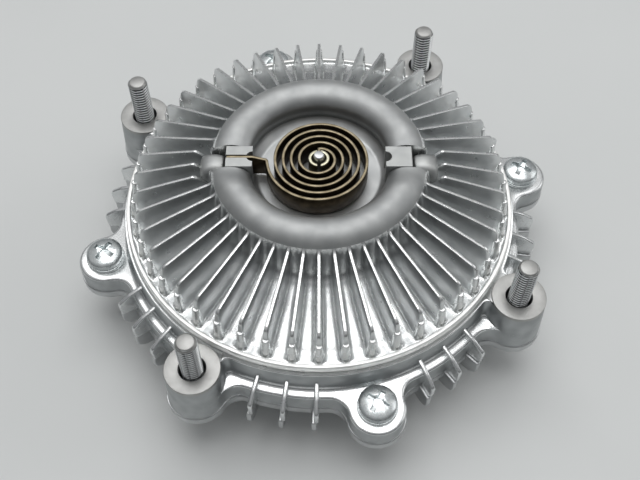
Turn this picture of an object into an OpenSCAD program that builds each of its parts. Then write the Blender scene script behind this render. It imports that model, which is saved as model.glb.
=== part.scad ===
// Viscous fan clutch with a bimetal coil.
// The input shaft turns with the pump. The finned housing carries the fan and is dragged round by
// the fluid between the rotor and the ridges of the rear case. The coil turns the valve spindle.
// The rear face of the input flange is z = 0, and the two cover lugs lie along X.

/* [Input shaft] */
// Radius of the flange that bolts to the pump
input_flange_r = 36.5; // [35:0.5:38]
// Thickness of that flange
input_flange_t = 8; // [7:0.5:10]
// Radius of the pilot recess in its rear face
pilot_recess_r = 12.5; // [10:0.5:13]
// Depth of the pilot recess
pilot_recess_depth = 6; // [4:0.5:6]
// Radius of the circle of pump bolts
pump_circle_r = 28; // [26:0.5:29]
// Radius of each pump bolt hole
pump_hole_r = 4.25; // [3:0.25:4.5]
// Length of the neck between the flange and the bearing
neck_l = 6; // [5:0.5:8]

/* [Bearing] */
// Bore radius of the bearing, and radius of the shaft in it
bearing_bore_r = 10; // [9.5:0.25:10.5]
// Outer radius of the bearing
bearing_outer_r = 26; // [25.5:0.25:27]
// Width of the bearing
bearing_w = 15; // [14:0.5:16]
// Radius of each ball
ball_r = 4.76; // [4.5:0.05:4.9]
// Number of balls
ball_count = 7; // [5:1:7]
// Thickness of each bearing seal
bearing_seal_t = 0.8; // [0.6:0.1:1]

/* [Rotor] */
// Radius of the shaft in the rotor
rotor_bore_r = 8; // [7:0.5:9]
// Radius of the rotor's hub
rotor_hub_r = 16; // [14:0.5:18]
// Thickness of the rotor's disc
rotor_web_t = 4; // [3:0.5:5]
// Gap between the rotor's rim and the chamber wall
rotor_gap = 1.5; // [1:0.25:2]
// Number of ring ridges on the floor of the rear case
ridge_count = 5; // [3:1:6]
// Width of each ridge
ridge_w = 2; // [1.5:0.25:2.25]

/* [Rear case] */
// Wall of the hub round the bearing
hub_wall = 7; // [6:0.5:8]
// Depth of the chamber floor below the front face of the bearing
floor_drop = 3; // [2.5:0.25:3.5]
// Thickness of the chamber floor
floor_t = 4; // [3:0.5:5]
// Depth of the case flange below the seam
case_flange_t = 4.5; // [4:0.5:6]
// Depth of the lower lobes below the seam
case_lobe_h = 7; // [6:0.5:8]
// Step by which the case stands out beyond the cover at the seam
seam_step = 0.4; // [0.2:0.1:0.8]
// Thickness of the cooling ribs under the case
rib_t = 2; // [1.6:0.2:2.6]
// Angle by which the ribs stand behind the short fins of the cover
rib_turn = -0.6; // [-1:0.1:0]
// Depth of the ribs' outer ends below the lower lobes
rib_drop = 2.5; // [1.5:0.25:3]
// Radius of the lower corner of the ribs' outer ends
rib_corner = 5; // [3:0.5:6]
// Radius of the section of the O-ring between the castings
case_seal_r = 1.1; // [0.9:0.1:1.3]

/* [Cover flange] */
// Reach of the flange beyond the wall, between the lobes
flange_reach = 3.9; // [3:0.1:5]
// Thickness of the flange above the seam
flange_t = 8; // [7:0.5:9]
// Distance from the wall to the circle of studs and screws
stud_reach = 9.6; // [9.2:0.1:10.2]
// Angle of the first stud from the X axis
stud_turn = 58.9; // [50:0.1:65]
// Radius of the lobe round each screw
lobe_r = 10.7; // [10:0.1:11.5]
// Radius of each boss at its top
boss_r = 10.2; // [9.8:0.1:10.5]
// Draft of each boss, from its top to the flange
boss_draft = 0.6; // [0.4:0.1:1]
// Height of each boss above the flange
boss_h = 11; // [9:0.5:12]
// Radius of the curve between a lobe and the flange
fillet_r = 7; // [5:0.5:8]
// Short fins between two lobes
short_fin_count = 3; // [1:1:3]
// Angle between two short fins
short_fin_pitch = 8; // [7:0.25:8.5]
// Thickness of each short fin
short_fin_t = 1.8; // [1.4:0.1:2.2]
// Reach of the short fins beyond the wall
short_fin_reach = 10.6; // [9:0.1:12]

/* [Cover dome] */
// Radius of the wall below the pilot ring
wall_r = 77.4; // [77:0.1:78]
// Outer radius of the machined ring that centres the fan
pilot_ring_r = 76; // [75:0.1:76.2]
// Width of that ring
pilot_ring_w = 1.5; // [1:0.1:2]
// Height of that ring's top above the flange
pilot_ring_h = 14; // [13:0.5:15]
// Wall thickness of the dome
shell_t = 4; // [3.5:0.25:4.5]
// Number of cooling fins
fin_count = 48; // [24:4:60]
// Thickness of a cooling fin at its top
fin_tip_t = 1.3; // [1:0.1:1.6]
// Thickness of a cooling fin at its foot
fin_root_t = 2.4; // [2:0.1:2.8]
// Height of a fin's outer corner above the flange
fin_outer_h = 28; // [26:0.5:30]
// Radius at the top of the ejector pad on each fin's outer end
pad_r = 1.3; // [1.2:0.05:1.5]
// Radius at the foot of that pad
pad_foot_r = 2.3; // [2:0.1:2.4]
// Height of that pad above the floor behind the pilot ring
pad_h = 10; // [8:0.5:11]
// Height of the kink near a fin's inner end above the flange
fin_inner_h = 34; // [32:0.5:35]
// Radius of the ring that the round rim's section is centred on
rim_r = 34; // [33.5:0.25:34.5]
// Radius of the round rim's section
rim_section_r = 7.5; // [7.2:0.1:7.8]
// Height of the rim's crest above the flange
crest_h = 40.5; // [39.5:0.5:42]
// Depth of the bowl's floor below the crest
bowl_depth = 13.5; // [13:0.25:14]

/* [Lugs] */
// Width of each lug
lug_w = 9.8; // [9:0.2:11]
// Radius at the inner end of each lug
lug_in_r = 25; // [24.5:0.25:25.5]
// Radius at the outer end of each lug
lug_out_r = 35; // [34:0.25:35.5]
// Depth of the lugs' tops below the crest
lug_drop = 2.5; // [2:0.25:3.5]
// Radius of the notch in the inner end of each lug
lug_notch_r = 2.3; // [2:0.1:2.6]
// Side gap between a lug and the rim
lug_gap = 0.4; // [0.3:0.1:0.8]

/* [Coil and spindle] */
// Thickness of the bimetal strip
strip_t = 1.1; // [0.8:0.05:1.3]
// Width of the strip, along the axis
strip_w = 8.5; // [7:0.25:9]
// Pitch of the coil's turns
coil_pitch = 3.05; // [2.8:0.05:3.1]
// Turns of the coil
coil_turns = 4.75; // [3.75:1:4.75]
// Gap between the coil and the floor of the bowl
coil_gap = 1; // [0.6:0.1:1.4]
// Radius of the pin on top of the spindle
pin_r = 2; // [1.6:0.1:2.2]
// Rise of the pin above the coil
pin_rise = 2.5; // [2:0.5:3.5]
// Radius of the spindle in the cover
spindle_r = 3; // [2.8:0.1:3.2]
// Outer radius of the slotted sleeve
sleeve_r = 4; // [3.8:0.05:4.2]
// Radius of the sleeve's bore round the pin
sleeve_bore_r = 2.75; // [2.5:0.05:2.9]
// Rise of the sleeve above the coil
sleeve_rise = 0.5; // [0.25:0.25:1]
// Reach of the valve arm from the axis
arm_reach = 46; // [40:1:52]
// Width of the valve arm
arm_w = 12; // [10:0.5:14]

/* [Fasteners] */
// Radius of the studs' thread
stud_r = 4; // [3.5:0.5:4]
// Radius of the hole round each stud in its boss
stud_hole_r = 5; // [4.5:0.1:5.5]
// Rise of the studs above the bosses
stud_rise = 20; // [16:0.5:24]
// Radius of the screws' thread
screw_r = 3; // [2.5:0.5:3]
// Radius of the screw heads
screw_head_r = 7; // [6.5:0.1:7.2]
// Height of the screw heads
screw_head_h = 4.8; // [4:0.2:5.5]
// Radius of the washers
washer_r = 7.4; // [7.2:0.1:8]
// Thickness of the washers
washer_t = 1.2; // [0.8:0.1:1.6]
// Rise of each stud's knurled seat over its thread, in the rear case
knurl_rise = 0.2; // [0.1:0.05:0.3]
// Depth of the plain neck of each stud under its thread, in the boss
stud_relief = 0.3; // [0.2:0.05:0.5]

/* [Hidden] */
$fn = 96;

// Clearances and small allowances
boss_ledge = 0.4;
run_gap = 0.03;
screw_gap = 0.3;
seam_gap = 0.2;
seam_taper = 0.4;
plate_gap = 4;
end_gap = 0.8;
tang_gap = 0.15;
race_gap = 0.14;
cut = 1;
sink = 1.5;

// Circles that the wall carries
flange_r = wall_r + flange_reach;
stud_circle_r = wall_r + stud_reach;
short_fin_r = wall_r + short_fin_reach;

// Heights of the bearing, the seam and the chamber
bearing_z = input_flange_t + neck_l;
bearing_top = bearing_z + bearing_w;
floor_z = bearing_top - floor_drop;
seam_z = floor_z;
seat_z = seam_z + flange_t;
lip_t = 2.5;
lip_gap = 1;
hub_top = bearing_top + lip_t;
clip_t = 1.3;
hub_bottom = bearing_z - 2 * clip_t;
ridge_h = hub_top - floor_z;
web_z = hub_top + rotor_gap;
web_top = web_z + rotor_web_t;
rotor_hub_top = web_top + clip_t;
plate_z = web_top + plate_gap;
plate_t = 1.4;
plate_top = plate_z + plate_t;

// Bearing
ball_circle_r = (bearing_bore_r + bearing_outer_r) / 2;
land = ball_r * 0.84;
inner_land_r = ball_circle_r - land;
outer_land_r = ball_circle_r + land;
ball_z = bearing_z + bearing_w / 2;
shoulder_r = bearing_bore_r + 0.7 * (inner_land_r - bearing_bore_r);

// Chamber and ridges
chamber_wall = 6.5;
chamber_r = wall_r - chamber_wall;
rotor_r = chamber_r - rotor_gap;
hub_r = bearing_outer_r + hub_wall;
ridge_first_r = hub_r + 6;
ridge_pitch = (chamber_r - 6 - ridge_first_r) / (ridge_count - 1);
reservoir_r = chamber_r - shell_t;

// Cover section
boss_top = seat_z + boss_h;
ring_top = seat_z + pilot_ring_h;
ring_floor = ring_top - pilot_ring_w;
ring_in_r = pilot_ring_r - pilot_ring_w;
crest_z = seat_z + crest_h;
rim_z = crest_z - rim_section_r;
bowl_z = crest_z - bowl_depth;
bowl_under = bowl_z - shell_t;
foot_r = ring_in_r - 5;
fin_end_r = ring_in_r - 3.2;
pad_circle_r = fin_end_r + 0.5;
neck_r = rim_r + rim_section_r + 1.2;
neck_z = ring_floor + 9.5;
floor_slope = (neck_z - ring_floor) / (foot_r - neck_r);
spindle_boss_r = 9.5;
seal_pocket_r = 6;
seal_w = 3;
spindle_boss_z = plate_top + 4.4;
core_half_w = rim_section_r - shell_t;
wall_fillet = 2;

// Coil, from its inner end in the sleeve to the lug at the left, where the last turn ends
coil_z = bowl_z + coil_gap;
coil_top = coil_z + strip_w;
coil_start = (180 + 360 * coil_turns) % 360;
coil_in_r = sleeve_r + 0.6 + strip_t / 2;
coil_out_r = coil_in_r + coil_pitch * coil_turns;
coil_steps = 32;
slit_w = strip_t + 0.3;
tab_r = lug_out_r - 3;
lug_top = crest_z - lug_drop;

// Spindle
arm_z = plate_top + 1;
arm_t = 1.2;
spindle_clip_z = arm_z + arm_t + 0.6;
spindle_clip_t = 0.9;
sleeve_z = bowl_z + 0.3;
sleeve_top = coil_top + sleeve_rise;
pin_top = coil_top + pin_rise;
stem_top = coil_z + 1;
port_r = arm_reach - arm_w / 2;

// Fasteners
stud_top = boss_top + stud_rise;
stud_head_r = stud_r + 2.5;
knurl_r = stud_r + knurl_rise;
relief_r = stud_r - stud_relief;
stud_head_t = 2.8;
case_lobe_z = seam_z - case_lobe_h;
rib_root_z = floor_z - floor_t + sink;
rib_low_z = hub_bottom + 2;
screw_end_z = case_lobe_z + 1.5;
head_z = seat_z + washer_t;
recess_w = 1.9;
recess_l = 9;
recess_depth = 2.6;

boss_lobe_r = boss_r + boss_draft + boss_ledge;
stud_angles = [for (i = [0:3]) stud_turn + 90 * i];
screw_angles = [for (i = [0:3]) stud_turn + 45 + 90 * i];
gap_angles = [for (i = [0:7]) stud_turn + 22.5 + 45 * i];

light_cast = [0.78, 0.79, 0.80];
zinc = [0.72, 0.74, 0.74];
steel = [0.55, 0.56, 0.58];
bronze = [0.42, 0.36, 0.25];
rubber = [0.08, 0.08, 0.08];

// Points along an arc
function arc(c, r, a0, a1, n) =
    [for (i = [0:n]) c + r * [cos(a0 + (a1 - a0) * i / n), sin(a0 + (a1 - a0) * i / n)]];

// A point turned about the origin
function turned(p, a) = [p[0] * cos(a) - p[1] * sin(a), p[0] * sin(a) + p[1] * cos(a)];

// One lobe of radius a and the two curves that join it to a ring of radius ring, at angle 0
function lobe_points(ring, a, f) =
    let (
        d1 = ring + f,
        d2 = a + f,
        phi = acos((stud_circle_r ^ 2 + d1 ^ 2 - d2 ^ 2) / (2 * stud_circle_r * d1)),
        psi = atan2(d1 * sin(phi), d1 * cos(phi) - stud_circle_r),
        left = arc(d1 * [cos(phi), -sin(phi)], f, 180 - phi, 180 - psi, 5),
        nose = arc([stud_circle_r, 0], a, -psi, psi, 14),
        right = arc(d1 * [cos(phi), sin(phi)], f, 180 + psi, 180 + phi, 5)
    )
    concat(left, [for (i = [1:len(nose) - 2]) nose[i]], right);

// Outline of the flange: studs and screws take turns round the circle
function flange_points(grow) =
    [for (i = [0:7]) let (
            a = (i % 2 == 0 ? boss_lobe_r : lobe_r) + grow,
            next_a = (i % 2 == 0 ? lobe_r : boss_lobe_r) + grow,
            pts = lobe_points(flange_r + grow, a, fillet_r),
            next = lobe_points(flange_r + grow, next_a, fillet_r),
            from = atan2(pts[len(pts) - 1][1], pts[len(pts) - 1][0]),
            to = 45 + atan2(next[0][1], next[0][0]),
            edge = arc([0, 0], flange_r + grow, from, to, 4)
        )
        each [for (p = concat(pts, [for (k = [1:3]) edge[k]])) turned(p, stud_turn + 45 * i)]];

// Places its children on the stud circle at each of the angles
module around(angles, r = stud_circle_r) {
    for (a = angles) rotate(a) translate([r, 0, 0]) children();
}

// Ring with a rectangular section
module ring(r_in, r_out, z0, z1) {
    difference() {
        translate([0, 0, z0]) cylinder(r = r_out, h = z1 - z0);
        translate([0, 0, z0 - cut]) cylinder(r = r_in, h = z1 - z0 + 2 * cut);
    }
}

// Upright plate of thickness t whose outline is drawn as radius and height
module radial_plate(t) {
    rotate([90, 0, 0]) translate([0, 0, -t / 2]) linear_extrude(t) children();
}

// Section of the cover without its fins
module cover_section() {
    difference() {
        union() {
            polygon([
                [0, seam_z], [wall_r + wall_fillet, seam_z], [wall_r + wall_fillet, seat_z],
                [wall_r, seat_z + wall_fillet], [wall_r, boss_top], [pilot_ring_r, boss_top],
                [pilot_ring_r, ring_top], [ring_in_r, ring_top], [ring_in_r, ring_floor],
                [foot_r, ring_floor], [neck_r + 1.5, neck_z - 1.5 * floor_slope],
                [neck_r, neck_z + 1.5], [rim_r + rim_section_r - 1.5, rim_z + 2],
                [rim_r - rim_section_r + 2, rim_z + 3], [rim_r - rim_section_r - 0.9, rim_z - 3.5],
                [rim_r - rim_section_r - 3.5, bowl_z], [0, bowl_z]
            ]);
            translate([rim_r, rim_z]) circle(r = rim_section_r);
        }
        translate([-cut, seam_z - cut]) square([chamber_r + cut, plate_top - seam_z + cut]);
        polygon([
            [-cut, plate_top - cut], [reservoir_r, plate_top - cut],
            [reservoir_r, ring_floor + (foot_r - reservoir_r) * floor_slope - shell_t],
            [rim_r + core_half_w, neck_z - 0.8 * shell_t], [rim_r + core_half_w, rim_z - 1],
            [rim_r + core_half_w / 2, rim_z + core_half_w / 2],
            [rim_r - core_half_w / 2, rim_z + core_half_w / 2],
            [rim_r - core_half_w, rim_z - 1], [rim_r - core_half_w, bowl_under],
            [spindle_boss_r, bowl_under], [spindle_boss_r, spindle_boss_z], [-cut, spindle_boss_z]
        ]);
        translate([-cut, spindle_boss_z - cut]) square([seal_pocket_r + cut, seal_w + cut]);
        translate([-cut, spindle_boss_z - cut])
            square([spindle_r + run_gap + cut, bowl_z - spindle_boss_z + 2 * cut]);
    }
}

// Outline of the cooling fins, as radius and height
module fin_outline() {
    corner = 2;
    polygon(concat(
        [[rim_r + core_half_w + 1, neck_z + sink], [neck_r + 2, neck_z - sink]],
        [[foot_r, ring_floor - sink], [ring_in_r - 1, ring_floor - sink]],
        [[ring_in_r - 1, ring_floor + 1.5]],
        arc([fin_end_r - corner, seat_z + fin_outer_h - corner], corner, 5, 76, 3),
        [[neck_r + 3.3, seat_z + fin_inner_h], [neck_r - 0.8, rim_z + 3.2]],
        [[rim_r + core_half_w + 1, rim_z + 3]]
    ));
}

// All the cooling fins: drafted blades cut to one turned outline
module cover_fins() {
    blade_z = ring_floor - 2 * sink;
    blade_h = crest_z - blade_z;
    intersection() {
        rotate_extrude() fin_outline();
        for (i = [0:fin_count - 1]) {
            rotate(360 * i / fin_count) translate([rim_r, 0, blade_z])
                rotate([90, 0, 90]) linear_extrude(wall_r - rim_r) polygon([
                    [-fin_root_t / 2, 0], [fin_root_t / 2, 0],
                    [fin_tip_t / 2, blade_h], [-fin_tip_t / 2, blade_h]
                ]);
        }
    }
}

// Tapered ejector pads on the outer ends of the cooling fins
module fin_pads() {
    for (i = [0:fin_count - 1]) {
        rotate(360 * i / fin_count) translate([pad_circle_r, 0, ring_floor - sink])
            cylinder(r1 = pad_foot_r, r2 = pad_r, h = pad_h + sink);
    }
}

// Outline of a short fin above the seam
module short_fin_upper() {
    corner = 2.5;
    polygon(concat(
        [[wall_r - sink, seam_z], [short_fin_r - seam_taper, seam_z]],
        arc([short_fin_r - corner, seat_z - 1], corner, 0, 75, 4),
        [[wall_r, seat_z + 4.5], [wall_r - sink, seat_z + 4.5]]
    ));
}

// Rib from the hub out to a short fin, whose lower half it carries
module rib_outline() {
    rib_top = seam_z - seam_gap;
    rib_end_z = case_lobe_z - rib_drop;
    polygon(concat(
        [[hub_r - sink, rib_root_z], [hub_r - sink, rib_low_z], [wall_r, rib_end_z]],
        arc([short_fin_r - rib_corner, rib_end_z + rib_corner], rib_corner, -90, 0, 4),
        [[short_fin_r - seam_taper, rib_top], [wall_r - sink, rib_top], [wall_r - sink, rib_root_z]]
    ));
}

// Rib from the hub into a lobe
module lobe_rib_outline() {
    end_r = stud_circle_r - stud_r - 2;
    polygon([
        [hub_r - sink, rib_root_z], [hub_r - sink, rib_low_z],
        [end_r, case_lobe_z + 1], [end_r, rib_root_z]
    ]);
}

module short_fins() {
    for (a = gap_angles, k = [0:short_fin_count - 1]) {
        rotate(a + (k - (short_fin_count - 1) / 2) * short_fin_pitch) children();
    }
}

// Gap in the round rim that each lug stands in, with a deeper pocket behind the lug
module lug_channel() {
    half = lug_w / 2 + lug_gap;
    pocket_w = 3;
    translate([rim_r - rim_section_r - cut, -half, rim_z])
        cube([lug_out_r - rim_r + rim_section_r + cut, 2 * half, crest_z]);
    translate([lug_out_r - cut, -half, rim_z - 1]) cube([pocket_w + cut, 2 * half, crest_z]);
    translate([lug_out_r + pocket_w - cut, -half, rim_z + 3.6])
        cube([rim_section_r, 2 * half, crest_z]);
}

module lug() {
    difference() {
        translate([lug_in_r, -lug_w / 2, bowl_z - sink])
            cube([lug_out_r - lug_in_r, lug_w, lug_top - bowl_z + sink]);
        translate([lug_in_r, 0, bowl_z]) cylinder(r = lug_notch_r, h = lug_top);
    }
}

module front_cover() {
    color(light_cast) difference() {
        union() {
            difference() {
                union() {
                    rotate_extrude() cover_section();
                    cover_fins();
                    fin_pads();
                }
                for (a = [0, 180]) rotate(a) lug_channel();
            }
            for (a = [0, 180]) rotate(a) lug();
            translate([0, 0, seam_z]) linear_extrude(flange_t) difference() {
                polygon(flange_points(0));
                circle(r = wall_r - sink);
            }
            around(stud_angles) translate([0, 0, seat_z - cut])
                cylinder(r1 = boss_r + boss_draft, r2 = boss_r, h = boss_h + cut);
            short_fins() radial_plate(short_fin_t) short_fin_upper();
        }
        around(stud_angles) translate([0, 0, seam_z - cut])
            cylinder(r = stud_hole_r, h = boss_top - seam_z + 2 * cut);
        around(screw_angles) translate([0, 0, seam_z - cut])
            cylinder(r = screw_r + screw_gap, h = flange_t + 2 * cut);
        rotate(180) translate([lug_in_r - cut, -slit_w / 2, coil_z - coil_gap / 2])
            cube([tab_r - lug_in_r + 2 * cut, slit_w, crest_z]);
    }
}

// Section of the rear case without its ribs and lobes
module case_section() {
    groove_w = 2 * case_seal_r + 0.4;
    seal_mid_r = chamber_r + chamber_wall / 2;
    difference() {
        union() {
            translate([outer_land_r + lip_gap, hub_bottom])
                square([hub_r - outer_land_r - lip_gap, hub_top - hub_bottom]);
            translate([hub_r - sink, floor_z - floor_t]) square([wall_r - hub_r + sink, floor_t]);
            for (i = [0:ridge_count - 1]) {
                translate([ridge_first_r + i * ridge_pitch - ridge_w / 2, floor_z - sink])
                    square([ridge_w, ridge_h + sink]);
            }
        }
        translate([0, hub_bottom - cut]) square([bearing_outer_r, bearing_top - hub_bottom + cut]);
        translate([0, bearing_z - clip_t]) square([bearing_outer_r + clip_t, clip_t]);
        translate([seal_mid_r - groove_w / 2, seam_z - 2 * case_seal_r])
            square([groove_w, 2 * case_seal_r + cut]);
    }
}

module rear_case() {
    color(light_cast) difference() {
        union() {
            rotate_extrude() case_section();
            translate([0, 0, seam_z - case_flange_t]) linear_extrude(case_flange_t) difference() {
                polygon(flange_points(seam_step));
                circle(r = wall_r - sink / 2);
            }
            around(concat(stud_angles, screw_angles)) translate([0, 0, case_lobe_z])
                cylinder(r1 = boss_r - boss_draft, r2 = boss_r, h = case_lobe_h - cut);
            rotate(rib_turn) short_fins() radial_plate(rib_t) rib_outline();
            around(concat(stud_angles, screw_angles), 0) radial_plate(rib_t) lobe_rib_outline();
        }
        around(stud_angles) translate([0, 0, case_lobe_z - cut])
            cylinder(r = knurl_r, h = case_lobe_h + 2 * cut);
        around(screw_angles) translate([0, 0, case_lobe_z - cut])
            cylinder(r = screw_r, h = case_lobe_h + 2 * cut);
    }
}

module case_seal() {
    color(rubber) rotate_extrude()
        translate([chamber_r + chamber_wall / 2, seam_z - case_seal_r]) circle(r = case_seal_r);
}

// Pan head with a domed top, as radius and height
module head_section() {
    side = 0.45 * screw_head_h;
    dome_r = (screw_head_r ^ 2 + (screw_head_h - side) ^ 2) / (2 * (screw_head_h - side));
    intersection() {
        square([screw_head_r, screw_head_h]);
        translate([0, screw_head_h - dome_r]) circle(r = dome_r);
    }
}

module case_screws() {
    color(zinc) around(screw_angles) {
        difference() {
            union() {
                translate([0, 0, head_z]) rotate_extrude() head_section();
                translate([0, 0, screw_end_z]) cylinder(r = screw_r, h = head_z - screw_end_z + cut);
            }
            for (a = [45, 135]) rotate(a)
                translate([-recess_l / 2, -recess_w / 2, head_z + screw_head_h - recess_depth])
                cube([recess_l, recess_w, recess_depth + cut]);
        }
    }
}

module screw_washers() {
    color(zinc) around(screw_angles) ring(screw_r + screw_gap, washer_r, seat_z, head_z);
}

// Each stud is pressed in from behind: head, knurled seat, plain neck, thread and tip
module fan_studs() {
    tip = 1.2;
    color(zinc) around(stud_angles) rotate_extrude() polygon([
        [0, case_lobe_z - stud_head_t], [stud_head_r, case_lobe_z - stud_head_t],
        [stud_head_r, case_lobe_z], [knurl_r, case_lobe_z], [knurl_r, seam_z], [relief_r, seam_z],
        [relief_r, boss_top], [stud_r, boss_top], [stud_r, stud_top - tip],
        [stud_r - tip, stud_top], [0, stud_top]
    ]);
}

module partition_plate() {
    port_w = 5;
    port_sweep = 14;
    color(steel) difference() {
        translate([0, 0, plate_z]) cylinder(r = chamber_r - run_gap, h = plate_t);
        rotate([0, 0, -port_sweep / 2]) rotate_extrude(angle = port_sweep)
            translate([port_r - port_w / 2, plate_z - cut]) square([port_w, plate_t + 2 * cut]);
        for (a = [60, 180, 300]) rotate(a) translate([chamber_r - 6, 0, plate_z - cut])
            cylinder(r = 1.5, h = plate_t + 2 * cut);
    }
}

// Centre line of the coil: it winds outward clockwise, seen from above
function coil_r(a) = coil_in_r + coil_pitch * (coil_start - a) / 360;

// One face of the strip, from the step first to the step last
function coil_side(off, first, last) = [for (i = [first:last])
    let (a = coil_start - 360 * i / coil_steps) (coil_r(a) + off) * [cos(a), sin(a)]];
function backward(list) = [for (i = [len(list) - 1:-1:0]) list[i]];

// A point of the strip's inner end, drawn along Y and turned to where the coil starts
function tang(x, y) = turned([x, y], coil_start - 90);

// The strip with its inner end bent into the sleeve and its outer end bent into the lug
module bimetal_coil() {
    half = strip_t / 2;
    steps = round(coil_turns * coil_steps);
    tang_y = spindle_r + tang_gap;
    color(bronze) translate([0, 0, coil_z]) linear_extrude(strip_w) polygon(concat(
        [tang(-half, tang_y), tang(-half, coil_in_r + half)],
        coil_side(half, 0, steps - 1),
        [[-sqrt((coil_out_r + half) ^ 2 - half ^ 2), -half], [-tab_r, -half]],
        [[-tab_r, half], [half - coil_out_r, half]],
        backward(coil_side(-half, 1, steps)),
        [tang(half, sqrt((coil_in_r - half) ^ 2 - half ^ 2)), tang(half, tang_y)]
    ));
}

module spindle_seal() {
    color(rubber) ring(spindle_r + run_gap, seal_pocket_r, spindle_boss_z, spindle_boss_z + seal_w);
}

module valve_spindle() {
    groove = 0.7;
    tip = 0.5;
    color(steel) rotate_extrude() polygon([
        [0, arm_z], [spindle_r, arm_z], [spindle_r, spindle_clip_z],
        [spindle_r - groove, spindle_clip_z], [spindle_r - groove, spindle_clip_z + spindle_clip_t],
        [spindle_r, spindle_clip_z + spindle_clip_t], [spindle_r, stem_top], [pin_r, stem_top],
        [pin_r, pin_top - tip], [pin_r - tip, pin_top], [0, pin_top]
    ]);
}

module spindle_sleeve() {
    slit_depth = sleeve_top - stem_top;
    color(steel) difference() {
        translate([0, 0, sleeve_z]) cylinder(r = sleeve_r, h = sleeve_top - sleeve_z);
        translate([0, 0, sleeve_z - cut]) cylinder(r = spindle_r, h = stem_top - sleeve_z + cut);
        translate([0, 0, sleeve_z]) cylinder(r = sleeve_bore_r, h = sleeve_top);
        rotate(coil_start - 90) translate([-slit_w / 2, -sleeve_r - cut, coil_z - 0.3])
            cube([slit_w, 2 * sleeve_r + 2 * cut, sleeve_top]);
    }
}

module spindle_clip() {
    color(steel) difference() {
        ring(spindle_r - 0.7, spindle_r + 2, spindle_clip_z, spindle_clip_z + spindle_clip_t);
        translate([0, -1.5, spindle_clip_z - cut]) cube([spindle_r + 3, 3, spindle_clip_t + 2 * cut]);
    }
}

module valve_arm() {
    tail = 16;
    color(steel) difference() {
        translate([0, 0, arm_z]) union() {
            translate([-tail, -arm_w / 2, 0]) cube([tail + port_r, arm_w, arm_t]);
            translate([port_r, 0, 0]) cylinder(r = arm_w / 2, h = arm_t);
            cylinder(r = arm_w / 2 + 2, h = arm_t);
        }
        translate([0, 0, arm_z - cut]) cylinder(r = spindle_r, h = arm_t + 2 * cut);
    }
}

module input_shaft() {
    groove = 0.8;
    end_z = plate_z - end_gap;
    color(steel) difference() {
        rotate_extrude() polygon([
            [0, 0], [input_flange_r - 1, 0], [input_flange_r, 1], [input_flange_r, input_flange_t - 1],
            [input_flange_r - 1, input_flange_t], [shoulder_r + 2, input_flange_t],
            [shoulder_r, input_flange_t + 2], [shoulder_r, bearing_z], [bearing_bore_r, bearing_z],
            [bearing_bore_r, bearing_top], [rotor_bore_r, bearing_top], [rotor_bore_r, rotor_hub_top],
            [rotor_bore_r - groove, rotor_hub_top], [rotor_bore_r - groove, rotor_hub_top + clip_t],
            [rotor_bore_r, rotor_hub_top + clip_t], [rotor_bore_r, end_z - 0.5],
            [rotor_bore_r - 0.5, end_z], [0, end_z]
        ]);
        translate([0, 0, -cut]) cylinder(r = pilot_recess_r, h = pilot_recess_depth + cut);
        around([45, 135, 225, 315], pump_circle_r) translate([0, 0, -cut])
            cylinder(r = pump_hole_r, h = input_flange_t + 2 * cut);
    }
}

module rotor() {
    ring_z = floor_z + 1;
    color(light_cast) difference() {
        rotate_extrude() union() {
            translate([rotor_bore_r, bearing_top])
                square([rotor_hub_r - rotor_bore_r, rotor_hub_top - bearing_top]);
            translate([rotor_hub_r - sink, web_z]) square([rotor_r - rotor_hub_r + sink, rotor_web_t]);
            for (i = [0:ridge_count - 2]) {
                translate([ridge_first_r + (i + 0.5) * ridge_pitch - ridge_w / 2, ring_z])
                    square([ridge_w, web_z - ring_z + sink]);
            }
        }
        around([for (i = [0:5]) 60 * i], (rotor_hub_r + ridge_first_r) / 2)
            translate([0, 0, web_z - cut]) cylinder(r = 3, h = rotor_web_t + 2 * cut);
    }
}

module rotor_lock_ring() {
    color(steel) difference() {
        ring(rotor_bore_r - 0.8, rotor_bore_r + 2.5, rotor_hub_top, rotor_hub_top + clip_t);
        translate([0, -2, rotor_hub_top - cut]) cube([rotor_bore_r + 4, 4, clip_t + 2 * cut]);
    }
}

module bearing_inner_ring() {
    color(steel) rotate_extrude() difference() {
        translate([bearing_bore_r, bearing_z]) square([inner_land_r - bearing_bore_r, bearing_w]);
        translate([ball_circle_r, ball_z]) circle(r = ball_r + race_gap);
    }
}

module bearing_outer_ring() {
    color(steel) rotate_extrude() difference() {
        translate([outer_land_r, bearing_z]) square([bearing_outer_r - outer_land_r, bearing_w]);
        translate([ball_circle_r, ball_z]) circle(r = ball_r + race_gap);
    }
}

module at_balls() {
    for (i = [0:ball_count - 1]) {
        rotate(360 * i / ball_count) translate([ball_circle_r, 0, ball_z]) children();
    }
}

module bearing_balls() {
    color(steel) at_balls() sphere(r = ball_r);
}

// Crown cage: a ring on one side of the balls with a pocket round each
module bearing_cage() {
    back = 1.1;
    half_w = 2;
    color([0.75, 0.7, 0.55]) difference() {
        ring(ball_circle_r - half_w, ball_circle_r + half_w, ball_z - ball_r - back, ball_z + 2);
        at_balls() sphere(r = ball_r + race_gap);
    }
}

module bearing_seal(z) {
    color(rubber) ring(inner_land_r + 0.1, outer_land_r, z, z + bearing_seal_t);
}

module bearing_front_seal() {
    bearing_seal(bearing_top - 0.4 - bearing_seal_t);
}

module bearing_rear_seal() {
    bearing_seal(bearing_z + 0.4);
}

module bearing_circlip() {
    color(steel) difference() {
        ring(outer_land_r + 1.5 * lip_gap, bearing_outer_r + clip_t, bearing_z - clip_t, bearing_z);
        translate([0, -4, bearing_z - clip_t - cut]) cube([hub_r, 8, clip_t + 2 * cut]);
    }
}

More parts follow.
